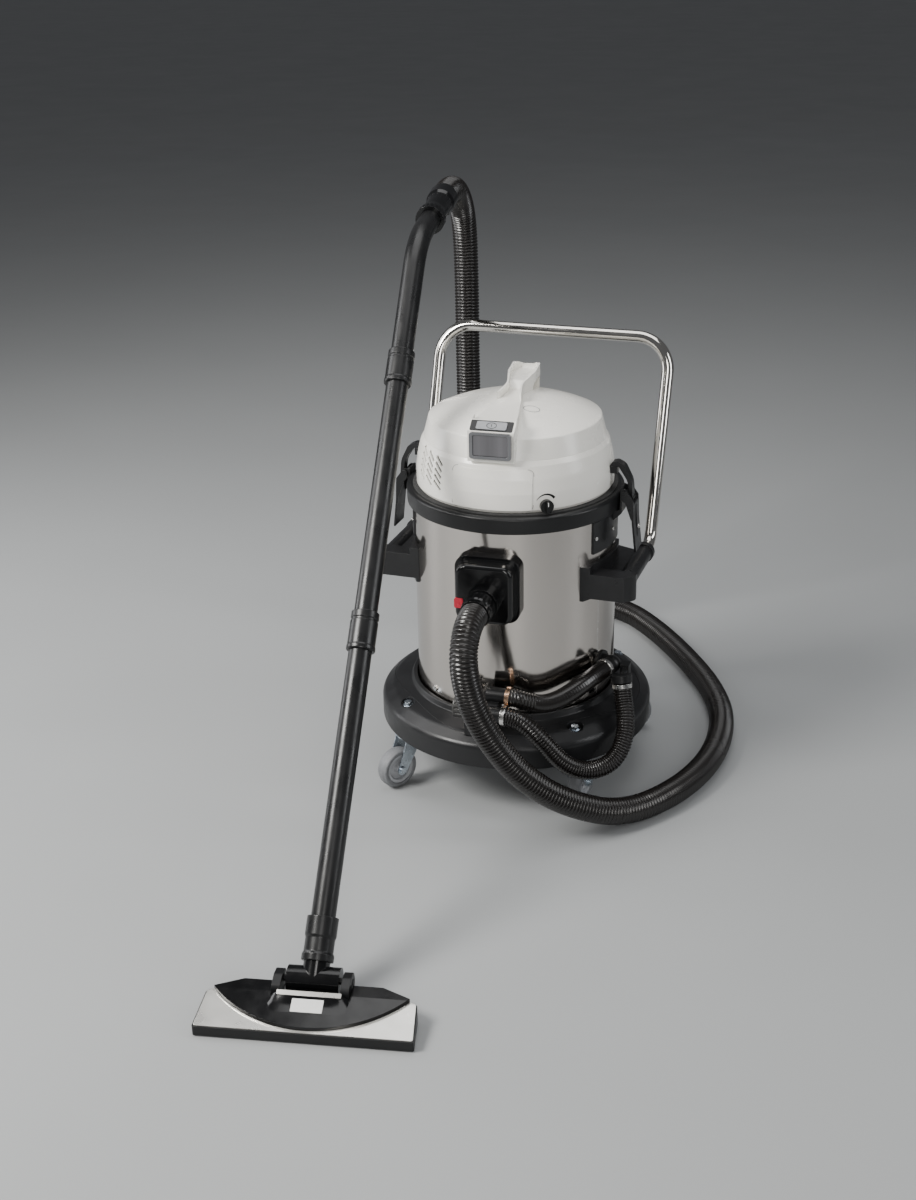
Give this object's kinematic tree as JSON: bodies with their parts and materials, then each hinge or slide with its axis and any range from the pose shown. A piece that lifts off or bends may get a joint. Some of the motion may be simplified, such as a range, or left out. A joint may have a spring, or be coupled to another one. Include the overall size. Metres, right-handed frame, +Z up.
{
  "type": "shop vacuum",
  "caption": "Wet-and-dry canister vacuum on a round caster dolly, with a steel tank, latched motor head, push handle, floor wand, nozzle and drain hose.",
  "frame": {"origin": "floor level, under the middle of the bounding box taken without the hoses", "axes": "+Z up, -Y the front, where the inlet is and the floor nozzle lies, +X the right side seen from the front"},
  "size_m": [0.6415, 1.6428, 1.0307],
  "materials": {
    "dolly_plastic": "fine-grained charcoal moulding",
    "zinc": "bright zinc plate",
    "tyre_grey": "smooth grey rubber",
    "hub_grey": "light grey plastic",
    "stainless": "near-mirror stainless sheet",
    "stainless_tube": "polished stainless tube",
    "black_satin": "satin black moulding",
    "black_hose": "glossy black ribbed hose",
    "red_button": "red plastic",
    "ivory": "warm off-white satin gloss",
    "silver": "silver paint",
    "smoked_lens": "smoked clear plastic",
    "knob_black": "gloss black",
    "latch_grey": "dark grey",
    "screw_steel": "bright steel",
    "wand_black": "dark satin plastic",
    "foam": "black foam rubber",
    "motor_steel": "grey pressed steel",
    "rotor_metal": "turned metal",
    "cage_plastic": "natural plastic",
    "filter_paper": "pleated filter paper",
    "float_orange": "natural plastic",
    "plate_bright": "bright stainless sheet",
    "strip_rubber": "black rubber"
  },
  "bodies": {
    "machine": {"base_dolly": "dolly_plastic", "cable_gland": "black_satin", "carry_handle": "ivory", "caster_stems": "zinc", "collar_ring": "black_satin", "drain_fittings": "black_satin", "drain_hose": "black_hose", "drain_link_hose": "black_hose", "filter_cage": "cage_plastic", "filter_cartridge": "filter_paper", "front_panel": "ivory", "gasket": "foam", "handle_brackets": "black_satin", "head_band": "ivory", "head_dome": "ivory", "inlet_housing": "black_satin", "inlet_socket": "black_satin", "latch_fixtures": "latch_grey", "main_hose": "black_hose", "motor": "motor_steel", "motor_plate": "black_satin", "nozzle_sleeve": "wand_black", "push_handle": "stainless_tube", "switch_bezel": "knob_black", "switch_lens": "smoked_lens", "tank": "stainless", "tank_screws": "screw_steel", "wand_bent_tube": "wand_black", "wand_lower_tube": "wand_black", "wand_sleeves": "wand_black", "wand_upper_tube": "wand_black"},
    "caster_swivel_fl_body": {"caster_fork_fl": "zinc"},
    "wheel_spin_fl_body": {"caster_tyre_fl": "tyre_grey", "caster_hub_fl": "hub_grey"},
    "caster_swivel_fr_body": {"caster_fork_fr": "zinc"},
    "wheel_spin_fr_body": {"caster_tyre_fr": "tyre_grey", "caster_hub_fr": "hub_grey"},
    "caster_swivel_rr_body": {"caster_fork_rr": "zinc"},
    "wheel_spin_rr_body": {"caster_tyre_rr": "tyre_grey", "caster_hub_rr": "hub_grey"},
    "caster_swivel_rl_body": {"caster_fork_rl": "zinc"},
    "wheel_spin_rl_body": {"caster_tyre_rl": "tyre_grey", "caster_hub_rl": "hub_grey"},
    "latch_lever_right_body": {"latch_lever_right": "latch_grey"},
    "latch_lever_left_body": {"latch_lever_left": "latch_grey"},
    "latch_hook_right_body": {"latch_hook_right": "latch_grey"},
    "latch_hook_left_body": {"latch_hook_left": "latch_grey"},
    "power_button_body": {"power_button": "silver"},
    "release_button_body": {"release_button": "red_button"},
    "suction_knob_body": {"suction_knob": "knob_black"},
    "inlet_cuff_body": {"inlet_cuff": "black_satin"},
    "wand_cuff_body": {"wand_cuff": "wand_black"},
    "nozzle_neck_body": {"nozzle_neck": "wand_black"},
    "nozzle_head": {"nozzle_body": "black_satin", "nozzle_plate": "plate_bright", "nozzle_cover": "knob_black", "nozzle_strips": "strip_rubber"},
    "drain_cap_body": {"drain_cap": "latch_grey"},
    "motor_rotor_body": {"motor_rotor": "rotor_metal"},
    "float_body": {"float_ball": "float_orange"}
  },
  "joints": [
    {"name": "caster_swivel_fl", "type": "hinge", "parent": "machine", "child": "caster_swivel_fl_body", "pos_m": [-0.15698, 0.18328, 0.097], "axis": [0, 0, 1], "continuous": true},
    {"name": "wheel_spin_fl", "type": "hinge", "parent": "caster_swivel_fl_body", "child": "wheel_spin_fl_body", "pos_m": [-0.17288, 0.15784, 0.038], "axis": [0.848, -0.5299, 0], "continuous": true},
    {"name": "caster_swivel_fr", "type": "hinge", "parent": "machine", "child": "caster_swivel_fr_body", "pos_m": [0.15698, 0.18328, 0.097], "axis": [0, 0, 1], "continuous": true},
    {"name": "wheel_spin_fr", "type": "hinge", "parent": "caster_swivel_fr_body", "child": "wheel_spin_fr_body", "pos_m": [0.16115, 0.21299, 0.038], "axis": [-0.9903, 0.1392, 0], "continuous": true},
    {"name": "caster_swivel_rr", "type": "hinge", "parent": "machine", "child": "caster_swivel_rr_body", "pos_m": [0.15698, 0.49724, 0.097], "axis": [0, 0, 1], "continuous": true},
    {"name": "wheel_spin_rr", "type": "hinge", "parent": "caster_swivel_rr_body", "child": "wheel_spin_rr_body", "pos_m": [0.18609, 0.5045, 0.038], "axis": [-0.2419, 0.9703, 0], "continuous": true},
    {"name": "caster_swivel_rl", "type": "hinge", "parent": "machine", "child": "caster_swivel_rl_body", "pos_m": [-0.15698, 0.49724, 0.097], "axis": [0, 0, 1], "continuous": true},
    {"name": "wheel_spin_rl", "type": "hinge", "parent": "caster_swivel_rl_body", "child": "wheel_spin_rl_body", "pos_m": [-0.17545, 0.52088, 0.038], "axis": [-0.788, -0.6157, 0], "continuous": true},
    {"name": "latch_lever_right_hinge", "type": "hinge", "parent": "machine", "child": "latch_lever_right_body", "pos_m": [0.203, 0.34026, 0.55], "axis": [0, -1, 0], "range_deg": [0, 95]},
    {"name": "latch_lever_left_hinge", "type": "hinge", "parent": "machine", "child": "latch_lever_left_body", "pos_m": [-0.203, 0.34026, 0.55], "axis": [0, 1, 0], "range_deg": [0, 95]},
    {"name": "latch_hook_right_hinge", "type": "hinge", "parent": "latch_lever_right_body", "child": "latch_hook_right_body", "pos_m": [0.212, 0.34026, 0.541], "axis": [0, -1, 0], "range_deg": [-95, 0]},
    {"name": "latch_hook_left_hinge", "type": "hinge", "parent": "latch_lever_left_body", "child": "latch_hook_left_body", "pos_m": [-0.212, 0.34026, 0.541], "axis": [0, 1, 0], "range_deg": [-95, 0]},
    {"name": "power_button_slide", "type": "slide", "parent": "machine", "child": "power_button_body", "axis": [-0.0331, 0.5923, -0.8051], "range_m": [0, 0.002], "stiffness_N_per_m": 300},
    {"name": "release_button_slide", "type": "slide", "parent": "machine", "child": "release_button_body", "axis": [-0.0558, 0.9984, 0], "range_m": [0, 0.002], "stiffness_N_per_m": 300},
    {"name": "suction_knob_hinge", "type": "hinge", "parent": "machine", "child": "suction_knob_body", "pos_m": [0.09836, 0.19552, 0.565], "axis": [0.5621, -0.8271, 0], "range_deg": [-135, 135]},
    {"name": "inlet_cuff_hinge", "type": "hinge", "parent": "machine", "child": "inlet_cuff_body", "pos_m": [0.01273, 0.11262, 0.412], "axis": [0.0558, -0.9984, 0], "continuous": true},
    {"name": "wand_cuff_hinge", "type": "hinge", "parent": "machine", "child": "wand_cuff_body", "pos_m": [-0.19134, 0.45211, 0.97872], "axis": [-0.1181, 0.9776, 0.1741], "continuous": true},
    {"name": "nozzle_swivel", "type": "hinge", "parent": "machine", "child": "nozzle_neck_body", "pos_m": [-0.06, -0.47474, 0.042], "axis": [-0.0962, 0.6681, 0.7378], "range_deg": [-60, 60]},
    {"name": "nozzle_tilt", "type": "hinge", "parent": "nozzle_neck_body", "child": "nozzle_head", "pos_m": [-0.06, -0.47474, 0.042], "axis": [0.9806, 0.1959, 0], "range_deg": [-30, 25]},
    {"name": "drain_cap_hinge", "type": "hinge", "parent": "machine", "child": "drain_cap_body", "pos_m": [-0.0244, 0.11826, 0.205], "axis": [-1, 0, 0], "continuous": true},
    {"name": "motor_rotor_hinge", "type": "hinge", "parent": "machine", "child": "motor_rotor_body", "pos_m": [0, 0.34026, 0.61], "axis": [0, 0, 1], "continuous": true},
    {"name": "float_slide", "type": "slide", "parent": "machine", "child": "float_body", "axis": [0, 0, 1], "range_m": [0, 0.1]}
  ],
  "couplings": [
    {"joint": "latch_hook_right_hinge", "follows": "latch_lever_right_hinge", "ratio": -1},
    {"joint": "latch_hook_left_hinge", "follows": "latch_lever_left_hinge", "ratio": -1}
  ]
}
